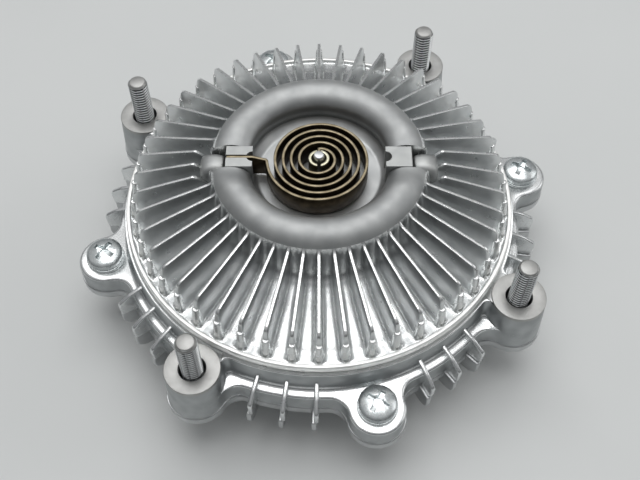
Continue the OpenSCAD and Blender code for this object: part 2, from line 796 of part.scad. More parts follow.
front_cover();
rear_case();
case_seal();
case_screws();
screw_washers();
fan_studs();
partition_plate();
bimetal_coil();
spindle_seal();
valve_spindle();
spindle_sleeve();
spindle_clip();
valve_arm();
input_shaft();
rotor();
rotor_lock_ring();
bearing_inner_ring();
bearing_outer_ring();
bearing_balls();
bearing_cage();
bearing_front_seal();
bearing_rear_seal();
bearing_circlip();
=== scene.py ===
import math

import bmesh
import bpy
import numpy as np
from mathutils import Matrix, Vector


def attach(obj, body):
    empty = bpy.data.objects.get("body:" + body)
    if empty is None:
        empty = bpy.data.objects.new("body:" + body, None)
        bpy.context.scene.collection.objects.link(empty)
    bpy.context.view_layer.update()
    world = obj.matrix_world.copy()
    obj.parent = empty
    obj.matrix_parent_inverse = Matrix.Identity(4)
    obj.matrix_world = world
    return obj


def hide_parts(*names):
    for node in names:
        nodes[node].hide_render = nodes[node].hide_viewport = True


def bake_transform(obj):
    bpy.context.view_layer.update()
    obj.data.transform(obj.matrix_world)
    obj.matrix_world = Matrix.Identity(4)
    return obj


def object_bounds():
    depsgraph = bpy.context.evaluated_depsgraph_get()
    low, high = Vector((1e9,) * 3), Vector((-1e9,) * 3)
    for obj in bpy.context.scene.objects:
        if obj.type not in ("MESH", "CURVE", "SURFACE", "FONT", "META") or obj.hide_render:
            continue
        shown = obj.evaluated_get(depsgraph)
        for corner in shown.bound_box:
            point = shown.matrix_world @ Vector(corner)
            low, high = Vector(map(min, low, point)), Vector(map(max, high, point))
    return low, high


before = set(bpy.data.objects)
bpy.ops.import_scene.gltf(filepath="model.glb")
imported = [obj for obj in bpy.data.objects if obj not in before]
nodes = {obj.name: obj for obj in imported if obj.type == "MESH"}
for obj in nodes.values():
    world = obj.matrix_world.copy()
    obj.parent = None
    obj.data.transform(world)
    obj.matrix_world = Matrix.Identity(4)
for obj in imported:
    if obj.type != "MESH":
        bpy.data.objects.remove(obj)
cad_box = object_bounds()

# Sizes in millimetres, the same as in the part's source. The axis is Z, and the lugs lie along X.
MM = 0.001
SEAM_Z = 26.0
SEAT_Z = 34.0
BOSS_TOP = 45.0
RING_FLOOR = 46.5
RING_TOP = 48.0
RING_R = 76.0
RING_IN_R = 74.5
WALL_R = 77.4
FLANGE_R = 81.3
STUD_CIRCLE_R = 87.0
STUD_TURN = 58.9
SCREW_LOBE_R = 10.7
STUD_LOBE_R = 11.2
BOSS_R = 10.2
LOBE_FILLET = 7.0
BOSS_FILLET = 2.2
SHORT_FIN_R = 88.0
SHORT_FIN_T = 1.8
SHORT_FIN_PITCH = 8.0
FIN_COUNT = 48
RIM_R = 34.0
RIM_Z = 67.0
RIM_SECTION_R = 7.5
BOWL_Z = 61.0
LUG_W = 9.8
LUG_IN_R = 25.0
LUG_OUT_R = 35.0
LUG_TOP = 72.0
LUG_NOTCH_R = 2.3
LUG_GAP = 0.4
GAP_HALF = LUG_W / 2 + LUG_GAP
SLIT_HALF = 0.7
STRIP_T = 1.1
STRIP_W = 8.5
COIL_Z = 62.0
COIL_PITCH = 3.05
COIL_TURNS = 4.75
COIL_IN_R = 5.15
TAB_R = 32.0
STUD_R = 4.0
STUD_HOLE_R = 5.0
STUD_SEAT_R = 4.2
STUD_TOP = 65.0
SCREW_R = 3.0
SCREW_HOLE_R = 3.3
SCREW_HEAD_R = 7.0
SCREW_HEAD_H = 4.8
WASHER_R = 7.4
WASHER_T = 1.2
CASE_LOBE_Z = 19.0
CASE_FLANGE_Z = 21.5
CASE_FLOOR_Z = 22.0
CASE_STEP = 0.4
HUB_R = 33.0
HUB_Z = 11.4
HUB_TOP = 31.5
BEARING_R = 26.0
BEARING_TOP = 29.0
RIB_T = 2.0
RIB_TURN = -0.6
RIB_END_Z = 16.5
SPINDLE_R = 3.0
SPINDLE_Z = 43.4
STEM_TOP = 63.0
PIN_R = 2.0
PIN_TOP = 73.0
SLEEVE_R = 4.0
SLEEVE_BORE_R = 2.75
SLEEVE_Z = 61.3
SLEEVE_TOP = 71.0

STUD_ANGLES = [STUD_TURN + 90 * i for i in range(4)]
SCREW_ANGLES = [STUD_TURN + 45 + 90 * i for i in range(4)]
GAP_ANGLES = [STUD_TURN + 22.5 + 45 * i for i in range(8)]
SHORT_FIN_ANGLES = [a + SHORT_FIN_PITCH * k for a in GAP_ANGLES for k in (-1, 0, 1)]
QUARTER = np.radians([0, 22.5, 45, 67.5, 90])
CUT_TOP = 80.0


# Materials

def node_material(name):
    """A new material, its node tree and its shader."""
    material = bpy.data.materials.new(name)
    material.use_nodes = True
    tree = material.node_tree
    return material, tree, tree.nodes["Principled BSDF"]


def noise(tree, scale, detail=4.0):
    """Noise over the object's own coordinates; scale is features per metre."""
    coords = tree.nodes.new("ShaderNodeTexCoord")
    made = tree.nodes.new("ShaderNodeTexNoise")
    made.inputs["Scale"].default_value = scale
    made.inputs["Detail"].default_value = detail
    made.inputs["Roughness"].default_value = 0.55
    tree.links.new(coords.outputs["Object"], made.inputs["Vector"])
    return made.outputs["Fac"]


def ramp(tree, value, stops):
    """Colours along a value: stops are (place, colour) pairs."""
    made = tree.nodes.new("ShaderNodeValToRGB")
    elements = made.color_ramp.elements
    while len(elements) < len(stops):
        elements.new(0.5)
    for element, (place, colour) in zip(elements, stops):
        element.position = place
        element.color = (*colour, 1.0)
    tree.links.new(value, made.inputs["Fac"])
    return made.outputs["Color"]


def span(tree, value, low, high):
    """The value from 0 to 1 taken to the span from low to high."""
    made = tree.nodes.new("ShaderNodeMapRange")
    made.inputs["To Min"].default_value = low
    made.inputs["To Max"].default_value = high
    tree.links.new(value, made.inputs["Value"])
    return made.outputs["Result"]


def bump(tree, height, distance, strength, under=None):
    """A bump of that many millimetres, over another bump if one is given."""
    made = tree.nodes.new("ShaderNodeBump")
    made.inputs["Strength"].default_value = strength
    made.inputs["Distance"].default_value = distance * MM
    tree.links.new(height, made.inputs["Height"])
    if under is not None:
        tree.links.new(under, made.inputs["Normal"])
    return made.outputs["Normal"]


def radius_waves(tree, per_metre):
    """Fine rings round the Z axis, as a lathe leaves them."""
    coords = tree.nodes.new("ShaderNodeTexCoord")
    waves = tree.nodes.new("ShaderNodeTexWave")
    waves.wave_type = "RINGS"
    waves.rings_direction = "Z"
    waves.inputs["Scale"].default_value = per_metre
    waves.inputs["Distortion"].default_value = 0.3
    tree.links.new(coords.outputs["Object"], waves.inputs["Vector"])
    return waves.outputs["Fac"]


def by_radius(tree, near, far, low):
    """A factor from low, within a radius round the Z axis, to 1 beyond a larger one."""
    coords = tree.nodes.new("ShaderNodeTexCoord")
    flat = tree.nodes.new("ShaderNodeVectorMath")
    flat.operation = "MULTIPLY"
    flat.inputs[1].default_value = (1, 1, 0)
    length = tree.nodes.new("ShaderNodeVectorMath")
    length.operation = "LENGTH"
    made = tree.nodes.new("ShaderNodeMapRange")
    made.inputs["From Min"].default_value = near * MM
    made.inputs["From Max"].default_value = far * MM
    made.inputs["To Min"].default_value = low
    tree.links.new(coords.outputs["Object"], flat.inputs[0])
    tree.links.new(flat.outputs["Vector"], length.inputs[0])
    tree.links.new(length.outputs["Value"], made.inputs["Value"])
    return made.outputs["Result"]


def times(tree, first, second):
    """The product of two values."""
    made = tree.nodes.new("ShaderNodeMath")
    made.operation = "MULTIPLY"
    tree.links.new(first, made.inputs[0])
    tree.links.new(second, made.inputs[1])
    return made.outputs["Value"]


def metal(name, dark, light, rough, mottle=160.0, grain=1500.0, grain_mm=0.02, swell_mm=0.0,
          polish=None):
    """Bare metal with mottled colour, uneven gloss, a fine grain and, for a casting, slow swells.

    polish, as by_radius takes it, makes the metal glossier near the Z axis.
    """
    material, tree, shader = node_material(name)
    shader.inputs["Metallic"].default_value = 1.0
    patches = noise(tree, mottle, 1.5)
    tree.links.new(ramp(tree, patches, [(0.3, dark), (0.7, light)]), shader.inputs["Base Color"])
    gloss = span(tree, noise(tree, mottle * 1.6, 1.0), *rough)
    if polish:
        gloss = times(tree, gloss, by_radius(tree, *polish))
    tree.links.new(gloss, shader.inputs["Roughness"])
    normal = bump(tree, noise(tree, grain, 2.0), grain_mm, 0.6)
    if swell_mm:
        normal = bump(tree, noise(tree, mottle * 0.7, 1.0), swell_mm, 0.5, normal)
    tree.links.new(normal, shader.inputs["Normal"])
    return material


def cast(name, dark, light, rough, grain_mm=0.006, polish=None):
    """Die cast aluminium: bare metal with slow swells."""
    return metal(name, dark, light, rough, grain_mm=grain_mm, swell_mm=0.2, polish=polish)


def machined(name, dark, light, rough):
    """Turned metal: fine rings round the axis over a faint mottle."""
    material, tree, shader = node_material(name)
    shader.inputs["Metallic"].default_value = 1.0
    patches = noise(tree, 240.0)
    tree.links.new(ramp(tree, patches, [(0.3, dark), (0.7, light)]), shader.inputs["Base Color"])
    tree.links.new(span(tree, noise(tree, 900.0), *rough), shader.inputs["Roughness"])
    tree.links.new(bump(tree, radius_waves(tree, 700.0), 0.03, 0.5), shader.inputs["Normal"])
    return material


def dull(name, dark, light, rough):
    """Rubber or moulded polymer with a faint grain."""
    material, tree, shader = node_material(name)
    patches = noise(tree, 300.0)
    tree.links.new(ramp(tree, patches, [(0.3, dark), (0.7, light)]), shader.inputs["Base Color"])
    tree.links.new(span(tree, noise(tree, 700.0), *rough), shader.inputs["Roughness"])
    tree.links.new(bump(tree, noise(tree, 2500.0, 2.0), 0.02, 0.5), shader.inputs["Normal"])
    return material


CAST = cast("cast_aluminium", (0.72, 0.735, 0.735), (0.82, 0.83, 0.825), (0.2, 0.34), 0.004)
# Darker copies of the cast metal for the sides of the fins and the channel floors: painted shade.
SHADED_BLADE = cast("fin_side_painted_shade", (0.66, 0.675, 0.68), (0.77, 0.78, 0.78), (0.24, 0.36), 0.02)
SHADED_FLOOR = cast("channel_aluminium_painted_shade", (0.62, 0.635, 0.64), (0.7, 0.715, 0.715), (0.18, 0.28), 0.003)
SATIN = cast("satin_aluminium", (0.41, 0.42, 0.422), (0.49, 0.5, 0.498), (0.52, 0.66), 0.008,
             polish=(27.0, 32.0, 0.76))
LUG = cast("lug_aluminium", (0.42, 0.43, 0.43), (0.5, 0.51, 0.5), (0.46, 0.58))
FLANGE = cast("flange_aluminium", (0.7, 0.715, 0.72), (0.8, 0.815, 0.815), (0.2, 0.32))
# Upright faces of the flange: a darker copy of the flange's metal, painted shade.
SHADED_SIDE = cast("side_aluminium_painted_shade", (0.36, 0.375, 0.38), (0.46, 0.475, 0.48), (0.36, 0.48), 0.01)
# The rear casting: a darker copy of the cover's metal, painted shade under the flange.
SHADED_CASE = cast("case_aluminium_painted_shade", (0.48, 0.49, 0.495), (0.6, 0.61, 0.615), (0.28, 0.4))
TURNED = machined("machined_aluminium", (0.38, 0.38, 0.37), (0.46, 0.46, 0.45), (0.4, 0.5))
PILOT = machined("pilot_ring", (0.82, 0.82, 0.805), (0.9, 0.9, 0.885), (0.36, 0.46))
ZINC = metal("zinc_plate", (0.62, 0.66, 0.67), (0.78, 0.81, 0.81), (0.2, 0.36), 400.0)
THREAD = metal("zinc_thread", (0.86, 0.88, 0.88), (0.92, 0.94, 0.94), (0.3, 0.34), 120.0, 200.0)
# Near-black metal in the roots of the thread: painted shade.
ROOT_SHADE = metal("thread_root_painted_shade", (0.05, 0.053, 0.056), (0.08, 0.083, 0.086), (0.5, 0.6), 120.0, 200.0)
BRASSY = metal("yellow_zinc", (0.5, 0.47, 0.34), (0.62, 0.6, 0.47), (0.25, 0.4), 300.0)
STEEL = metal("steel", (0.46, 0.47, 0.48), (0.6, 0.61, 0.62), (0.28, 0.42), 300.0)
BIMETAL = metal("bimetal", (0.24, 0.2, 0.13), (0.42, 0.36, 0.25), (0.36, 0.55), 300.0)
# Near-black sides of the bimetal strip: painted shade between the turns.
STRIP_SIDE_SHADE = metal("bimetal_side_painted_shade", (0.03, 0.022, 0.013), (0.075, 0.057, 0.036), (0.4, 0.6), 300.0)
RUBBER = dull("rubber", (0.015, 0.015, 0.016), (0.03, 0.03, 0.03), (0.6, 0.8))
POLYMER = dull("polymer", (0.6, 0.52, 0.36), (0.72, 0.65, 0.48), (0.4, 0.55))


# Shapes

def link(name, data):
    """A new object of that mesh, camera or lamp in the scene."""
    made = bpy.data.objects.new(name, data)
    bpy.context.scene.collection.objects.link(made)
    return made


def mesh_object(name, points, faces):
    """A mesh from points in millimetres, with doubled points merged and normals outward."""
    mesh = bpy.data.meshes.new(name)
    mesh.from_pydata((np.asarray(points, float) * MM).tolist(), [], faces)
    work = bmesh.new()
    work.from_mesh(mesh)
    bmesh.ops.remove_doubles(work, verts=work.verts, dist=1e-7)
    bmesh.ops.recalc_face_normals(work, faces=work.faces)
    work.to_mesh(mesh)
    work.free()
    return link(name, mesh)


def smooth(obj, sharp_degrees=35.0):
    """Smooth shading with edges kept where faces turn by more than that angle."""
    obj.data.polygons.foreach_set("use_smooth", [True] * len(obj.data.polygons))
    obj.data.set_sharp_from_angle(angle=math.radians(sharp_degrees))
    return obj


def apply_modifiers(obj):
    """The object's mesh as its modifiers make it."""
    bpy.context.view_layer.update()
    graph = bpy.context.evaluated_depsgraph_get()
    made = bpy.data.meshes.new_from_object(obj.evaluated_get(graph))
    before = obj.data
    obj.modifiers.clear()
    obj.data = made
    bpy.data.meshes.remove(before)
    return obj


def bevel(obj, width, segments=3):
    """Rounded edges of that many millimetres wherever faces turn by more than 40 degrees."""
    made = obj.modifiers.new("round", "BEVEL")
    made.width = width * MM
    made.segments = segments
    made.limit_method = "ANGLE"
    made.angle_limit = math.radians(40)
    return apply_modifiers(obj)


def cut(obj, cutters):
    """The object less the cutters, which go."""
    for cutter in cutters:
        made = obj.modifiers.new("cut", "BOOLEAN")
        made.operation = "DIFFERENCE"
        made.solver = "EXACT"
        made.object = cutter
    apply_modifiers(obj)
    for cutter in cutters:
        bpy.data.meshes.remove(cutter.data)
    return obj


def join(name, parts):
    """One object of several meshes."""
    work = bmesh.new()
    for part in parts:
        work.from_mesh(part.data)
        bpy.data.meshes.remove(part.data)
    mesh = bpy.data.meshes.new(name)
    work.to_mesh(mesh)
    work.free()
    return link(name, mesh)


def dress(obj, material, slot, body, *replaced):
    """Material and body of a piece, and the CAD nodes that it stands for; the slot is not used."""
    obj.data.materials.clear()
    obj.data.materials.append(material)
    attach(obj, body)
    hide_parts(*replaced)
    return obj


def face_finishes_and_shade(obj, materials, choose):
    """Further materials for a piece, real finishes and painted shade or light, and the one that a rule
    chooses for each face.
    """
    for material in materials:
        obj.data.materials.append(material)
    obj.data.polygons.foreach_set("material_index", [choose(face) for face in obj.data.polygons])
    return obj


def grid_faces(rows, columns, closed_rows):
    """Quads over rows of points that each go once round."""
    last = rows if closed_rows else rows - 1
    i = np.repeat(np.arange(last), columns)
    j = np.tile(np.arange(columns), last)
    below = (i + 1) % rows
    beside = (j + 1) % columns
    quads = [i * columns + j, i * columns + beside, below * columns + beside, below * columns + j]
    return np.stack(quads, 1).tolist()


def arc(centre, radius, first, last, steps):
    """Points along an arc, angles in degrees."""
    angles = np.radians(np.linspace(first, last, steps + 1))
    return [(centre[0] + radius * math.cos(a), centre[1] + radius * math.sin(a)) for a in angles]


def rounded(corners, steps=5):
    """A closed outline from (x, y, radius) corners."""
    made = []
    for i, (x, y, radius) in enumerate(corners):
        here = Vector((x, y))
        if not radius:
            made.append((x, y))
            continue
        before = (Vector(corners[i - 1][:2]) - here).normalized()
        after = (Vector(corners[(i + 1) % len(corners)][:2]) - here).normalized()
        half = before.angle(after) / 2
        centre = here + (before + after).normalized() * (radius / math.sin(half))
        start = (here + before * (radius / math.tan(half)) - centre).normalized()
        end = (here + after * (radius / math.tan(half)) - centre).normalized()
        for k in range(steps + 1):
            made.append(tuple(centre + start.slerp(end, k / steps) * radius))
    return made


def revolved(name, profile, columns):
    """A solid from a closed outline of radius and height turned about Z."""
    profile = np.asarray(profile, float)
    angles = np.arange(columns) * 2 * math.pi / columns
    r = profile[:, :1]
    ring = np.stack([r * np.cos(angles), r * np.sin(angles), profile[:, 1:] + 0 * angles], -1)
    return mesh_object(name, ring.reshape(-1, 3), grid_faces(len(profile), columns, True))


def box(name, low, high):
    """A block between two corners."""
    x0, y0, z0 = low
    x1, y1, z1 = high
    points = [(x, y, z) for z in (z0, z1) for x, y in ((x0, y0), (x1, y0), (x1, y1), (x0, y1))]
    faces = [(0, 3, 2, 1), (4, 5, 6, 7), (0, 1, 5, 4), (1, 2, 6, 5), (2, 3, 7, 6), (3, 0, 4, 7)]
    return mesh_object(name, points, faces)


def plate(name, outline, thickness):
    """An upright plate in the XZ plane from an outline of radius and height."""
    n = len(outline)
    half = thickness / 2
    points = [(x, y, z) for y in (-half, half) for x, z in outline]
    faces = [tuple(range(n)), tuple(range(2 * n - 1, n - 1, -1))]
    faces += [(k, (k + 1) % n, n + (k + 1) % n, n + k) for k in range(n)]
    return mesh_object(name, points, faces)


def rod(name, radius, z0, z1, x=0.0, columns=48):
    """A plain cylinder that stands at (x, 0)."""
    made = revolved(name, [(0, z0), (radius, z0), (radius, z1), (0, z1)], columns)
    made.data.transform(shift(x, 0, 0))
    return made


def shift(x, y, z):
    """A move of that many millimetres."""
    return Matrix.Translation((x * MM, y * MM, z * MM))


def turn(degrees):
    """A turn about Z."""
    return Matrix.Rotation(math.radians(degrees), 4, "Z")


def turned_copies(obj, angles):
    """Copies of the object turned about Z, in its place."""
    made = []
    for a in angles:
        copy = link(obj.name + "_copy", obj.data.copy())
        copy.data.transform(turn(a))
        made.append(copy)
    bpy.data.meshes.remove(obj.data)
    return made


def ring_of(obj, radius, angles):
    """Copies of the object moved out to a radius and turned about Z, in its place."""
    obj.data.transform(shift(radius, 0, 0))
    return turned_copies(obj, angles)


# Cooling fins: matched points along the floor of a channel and along the edge of a fin,
# from the pilot ring inward to the round rim, as (radius, height)
FIN_STATIONS = [
    ((73.6, 46.5), (73.6, 46.5)),
    ((73.2, 46.5), (72.9, 47.6)),
    ((72.8, 46.5), (72.4, 50.0)),
    ((72.3, 46.5), (72.0, 55.0)),
    ((71.7, 46.5), (71.6, 59.3)),
    ((70.9, 46.5), (70.9, 61.2)),
    ((69.7, 46.65), (69.8, 62.0)),
    ((68.6, 46.98), (69.2, 62.25)),
    ((66.5, 47.7), (66.5, 62.9)),
    ((58.0, 50.25), (59.0, 64.8)),
    ((49.5, 53.6), (52.5, 66.4)),
    ((45.7, 55.2), (49.5, 67.1)),
    ((43.6, 57.4), (47.8, 67.55)),
    ((42.4, 61.0), (46.2, 67.95)),
    ((41.8, 64.5), (44.2, 68.45)),
    ((41.5, 67.0), (42.7, 68.85)),
    ((41.25, 68.9), (41.6, 69.4)),
    ((40.8, 70.17), (40.8, 70.17)),
]
STATION_STEPS = 2
FIN_ROOT_HALF = 1.25
FIN_TIP_HALF = 0.65
FIN_TIP_Z = 62.0
FIN_FILLET = 1.9
FIN_EDGE = 0.2
HALF_SECTOR = math.pi / FIN_COUNT


def smooth_stations():
    """The matched points with a smooth curve run through them."""
    keys = np.array([(*root, *tip) for root, tip in FIN_STATIONS])
    padded = np.vstack([2 * keys[0] - keys[1], keys, 2 * keys[-1] - keys[-2]])
    made = []
    for i in range(len(keys) - 1):
        a, b, c, d = padded[i:i + 4]
        for k in range(STATION_STEPS):
            t = k / STATION_STEPS
            cubic = c - a + t * (2 * a - 5 * b + 4 * c - d + t * (3 * b - a - 3 * c + d))
            made.append(b + 0.5 * t * cubic)
    return made + [keys[-1]]


def fin_half(z):
    """Half the thickness of a fin at a height."""
    share = min(max((z - RING_FLOOR) / (FIN_TIP_Z - RING_FLOOR), 0.0), 1.0)
    return FIN_ROOT_HALF + (FIN_TIP_HALF - FIN_ROOT_HALF) * share


def fin_section(station):
    """Half of one channel and fin, from mid channel to the fin's edge: (radius, angle, height) rows."""
    root, tip = Vector(station[:2]), Vector(station[2:])
    rise = (tip - root).length
    along = (tip - root) / rise if rise > 1e-6 else Vector((0, 1))
    foot = fin_half(root.y)
    room = root.x * math.tan(HALF_SECTOR) - foot
    fillet = min(FIN_FILLET, 0.75 * room)
    lift = min(fillet, 0.45 * rise)
    edge = min(FIN_EDGE, 0.25 * rise)
    side = [(foot + fillet * (1 - math.sin(a)), lift * (1 - math.cos(a)))
            for a in np.radians([0, 30, 60, 90])]
    for share, thin in ((0.5, 0.95), (1.0, 0.9)):
        q = lift + (rise - edge - lift) * share
        side.append((fin_half((root + along * q).y) * thin, q))
    top = side[-1][0]
    side += [(top - 0.3 * edge, rise - 0.3 * edge), (top - edge, rise), (0.0, rise)]
    start = math.atan2(side[0][0], root.x)
    made = [(root.x, HALF_SECTOR, root.y), (root.x, (HALF_SECTOR + start) / 2, root.y)]
    for s, q in side:
        p = root + along * q
        made.append((math.hypot(p.x, s), math.atan2(s, p.x), p.y))
    return np.array(made)


def sector_columns(half):
    """One full sector from a half section: mid channel, up one side of the fin and down the other."""
    left = half * (1, -1, 1)
    return np.vstack([left[:-1], half[:0:-1]])


def fin_row(half):
    """One row of points once round the cover."""
    columns = sector_columns(half)
    made = []
    for i in range(FIN_COUNT):
        a = columns[:, 1] + 2 * HALF_SECTOR * i
        made.append(np.stack([columns[:, 0] * np.cos(a), columns[:, 0] * np.sin(a), columns[:, 2]], 1))
    return np.vstack(made)


def plain_row(r, z, half):
    """A round row with the same columns as the fins."""
    level = half.copy()
    level[:, 0] = r
    level[:, 2] = z
    return fin_row(level)


# Behind each lug the fins come down to a low bump in the gap of the rim: limits as (radius, height)
DIP = [(42.0, 62.2), (47.3, 67.5)]
DIP_HALF_ANGLE = 11.25
DIP_RIM_R = 42.0


def dipped(points):
    """The points with those behind the lugs held down."""
    made = points.copy()
    r = np.hypot(made[:, 0], made[:, 1])
    near = np.degrees(np.arctan2(np.abs(made[:, 1]), np.abs(made[:, 0]))) < DIP_HALF_ANGLE
    in_gap = np.abs(made[:, 1]) < GAP_HALF
    held = near & (r < DIP[1][0]) & (in_gap | (r > DIP_RIM_R))
    limit = np.interp(r, *zip(*DIP))
    made[held, 2] = np.minimum(made[held, 2], limit[held])
    return made


RING_PROFILE = [
    (75.2, 44.0), (75.7, 44.6), (RING_R, 44.8), (RING_R, 47.75), (75.92, 47.93), (75.75, RING_TOP),
    (74.75, RING_TOP), (74.58, 47.93), (RING_IN_R, 47.75), (RING_IN_R, 46.75), (74.3, RING_FLOOR),
]
UNDER_PROFILE = [(39.6, 69.3), (37.5, 66.0), (37.5, 58.0), (44.0, 51.0), (66.0, 42.5), (74.8, 40.5)]
# Bounds of the finishes and of the painted shade: foot of the pilot ring, top of the channel floors, and the
# upward part of the normal on a flat and on an upright face
RING_FOOT = BOSS_TOP - 1.2
CHANNEL_TOP = 57.0
FLAT = 0.85
UPRIGHT = 0.35


def fin_finish_and_shade(face):
    """Which finish or painted shade a face of the dome has: 1 pilot ring, 2 channel floor in painted shade,
    3 side of a fin in painted shade, else 0.
    """
    r = math.hypot(*face.center[:2]) / MM
    z = face.center.z / MM
    if r > RING_IN_R - 0.1 and z > RING_FOOT:
        return 1
    if face.normal.z > FLAT and z < CHANNEL_TOP:
        return 2
    return 3 if abs(face.normal.z) < UPRIGHT else 0


def make_fins():
    """The finned dome with the pilot ring, closed underneath."""
    halves = [fin_section(s) for s in smooth_stations()]
    rows = [fin_row(half) for half in halves]
    rows += [plain_row(r, z, halves[0]) for r, z in UNDER_PROFILE + RING_PROFILE]
    points = dipped(np.vstack(rows))
    made = mesh_object("cover_fins", points, grid_faces(len(rows), len(rows[0]), True))
    dress(smooth(made, 60.0), CAST, "cast_aluminium", "housing", "front_cover")
    # The channel floors and the sides of the fins take the darker copies: painted shade.
    return face_finishes_and_shade(made, [PILOT, SHADED_FLOOR, SHADED_BLADE], fin_finish_and_shade)


PAD_CIRCLE_R = 71.8
PAD_H = 10.0


def make_pads():
    """Tapered ejector pads on the outer ends of the fins."""
    top = RING_FLOOR + PAD_H
    outline = rounded([
        (0, RING_FLOOR - 1, 0), (2.6, RING_FLOOR - 1, 0), (2.3, RING_FLOOR, 0), (1.7, RING_FLOOR + 4, 6),
        (1.25, top, 0.45), (0, top, 0),
    ], 3)
    pad = revolved("pad", outline, 20)
    made = join("fin_pads", ring_of(pad, PAD_CIRCLE_R, [360 * i / FIN_COUNT for i in range(FIN_COUNT)]))
    return dress(smooth(made), CAST, "cast_aluminium", "housing", "front_cover")


# Round rim, bowl and lugs. Beside the lugs the crest of the rim is lower, by RIM_DIP at most.
RIM_DIP = 2.3
RIM_DIP_REACH = 16.0
# Steps of the gap in the rim for a lug: inner and outer radius and floor
RIM_GAP = [(LUG_IN_R, LUG_OUT_R, RIM_Z), (34.0, 38.0, 64.0), (37.0, 43.0, 67.0)]
# The bowl's surface and the underside up to the rim, as (radius, height, rounding)
BOWL_PROFILE = [
    (26.2, 62.5, 0), (23.6, BOWL_Z, 2.6), (3.1, BOWL_Z, 0), (3.1, 57.0, 0), (29.0, 57.0, 0),
    (34.0, 60.0, 0), (39.4, 68.5, 0),
]


def gap_end_painted_light(face):
    """Which finish a face of the rim has: 1, the lighter cast metal as painted light, on the ends beside a
    lug, else 0.
    """
    return int(abs(face.normal.y) > 0.95 and abs(face.center.y) < (GAP_HALF + 1) * MM)


def make_bowl():
    """The round rim and the bowl inside it, with a gap in the rim for each lug."""
    crest = arc((RIM_R, RIM_Z), RIM_SECTION_R, 22, 205, 40)
    made = revolved("cover_bowl", crest + rounded(BOWL_PROFILE), 256)
    cutters = []
    for side in (1, -1):
        for low_r, high_r, low_z in RIM_GAP:
            ends = sorted((side * low_r, side * high_r))
            cutters.append(box("gap", (ends[0], -GAP_HALF, low_z), (ends[1], GAP_HALF, CUT_TOP)))
    cut(made, cutters)
    bevel(made, 0.5)
    for v in made.data.vertices:
        beside = (RIM_DIP_REACH - abs(v.co.y) / MM) / (RIM_DIP_REACH - GAP_HALF)
        share = min(max(beside, 0.0), 1.0)
        rise = max(v.co.z / MM - RIM_Z, 0.0) / RIM_SECTION_R
        v.co.z -= RIM_DIP * MM * rise * share * share * (3 - 2 * share)
    dress(smooth(made), SATIN, "cast_aluminium", "housing", "front_cover")
    # The ends of the rim beside a lug take the lighter cast metal: painted light in the gap's shade.
    return face_finishes_and_shade(made, [CAST], gap_end_painted_light)


# Low bump behind a lug: half width and top at each radius, and its foot
BUMP_STATIONS = [
    (35.9, 3.7, 68.2), (36.2, 4.2, 69.0), (36.8, 4.5, 69.4), (39.0, 4.8, 69.8),
    (41.5, 5.0, 69.6), (43.6, 5.1, 68.8), (44.7, 5.0, 67.6), (45.2, 4.7, 66.2),
]
BUMP_FOOT = 54.0


def low_bump():
    """A rounded block across the gap of the rim, at angle 0."""
    rows = []
    arch = np.linspace(0, math.pi, 21)
    for x, half, top in BUMP_STATIONS:
        y = half * np.sign(np.cos(arch)) * np.abs(np.cos(arch)) ** 0.7
        z = BUMP_FOOT + (top - BUMP_FOOT) * np.sin(arch) ** 0.25
        rows.append(np.stack([np.full_like(y, x), y, z], 1))
    columns = len(arch)
    points = np.vstack(rows)
    ends = [tuple(range(columns)), tuple(range(len(points) - columns, len(points)))[::-1]]
    return mesh_object("low_bump", points, grid_faces(len(rows), columns, False) + ends)


def make_lugs():
    """Two lugs with a notch at the inner end; the left one is slit for the coil's tab."""
    lugs = []
    for side in (1, -1):
        ends = sorted((side * LUG_IN_R, side * LUG_OUT_R))
        lug = box("lug", (ends[0], -LUG_W / 2, BOWL_Z - 1), (ends[1], LUG_W / 2, LUG_TOP))
        cutters = [rod("notch", LUG_NOTCH_R, BOWL_Z, LUG_TOP + 5, side * LUG_IN_R)]
        if side < 0:
            low = (-LUG_OUT_R - 1, -SLIT_HALF, COIL_Z - 0.5)
            cutters.append(box("slit", low, (-LUG_IN_R + 2, SLIT_HALF, CUT_TOP)))
        cut(lug, cutters)
        lugs.append(bevel(lug, 0.3))
    made = join("cover_lugs", lugs + turned_copies(low_bump(), [0, 180]))
    dress(smooth(made), LUG, "cast_aluminium", "housing", "front_cover")
    made.modifiers.new("flat_tops", "WEIGHTED_NORMAL").keep_sharp = True
    return made


# Flange with lobes, wall and bosses: loops of points from one outline rule

def lobe_points(ring, a, fillet):
    """One lobe of radius a and the two curves that join it to a ring, at angle 0."""
    d1 = ring + fillet
    d2 = a + fillet
    c = STUD_CIRCLE_R
    phi = math.acos((c * c + d1 * d1 - d2 * d2) / (2 * c * d1))
    psi = math.atan2(d1 * math.sin(phi), d1 * math.cos(phi) - c)
    phi_d, psi_d = math.degrees(phi), math.degrees(psi)
    x, y = d1 * math.cos(phi), d1 * math.sin(phi)
    left = arc((x, -y), fillet, 180 - phi_d, 180 - psi_d, 7)
    nose = arc((c, 0), a, -psi_d, psi_d, 24)
    right = arc((x, y), fillet, 180 + psi_d, 180 + phi_d, 7)
    return left + nose[1:-1] + right


EDGE_STEPS = 10


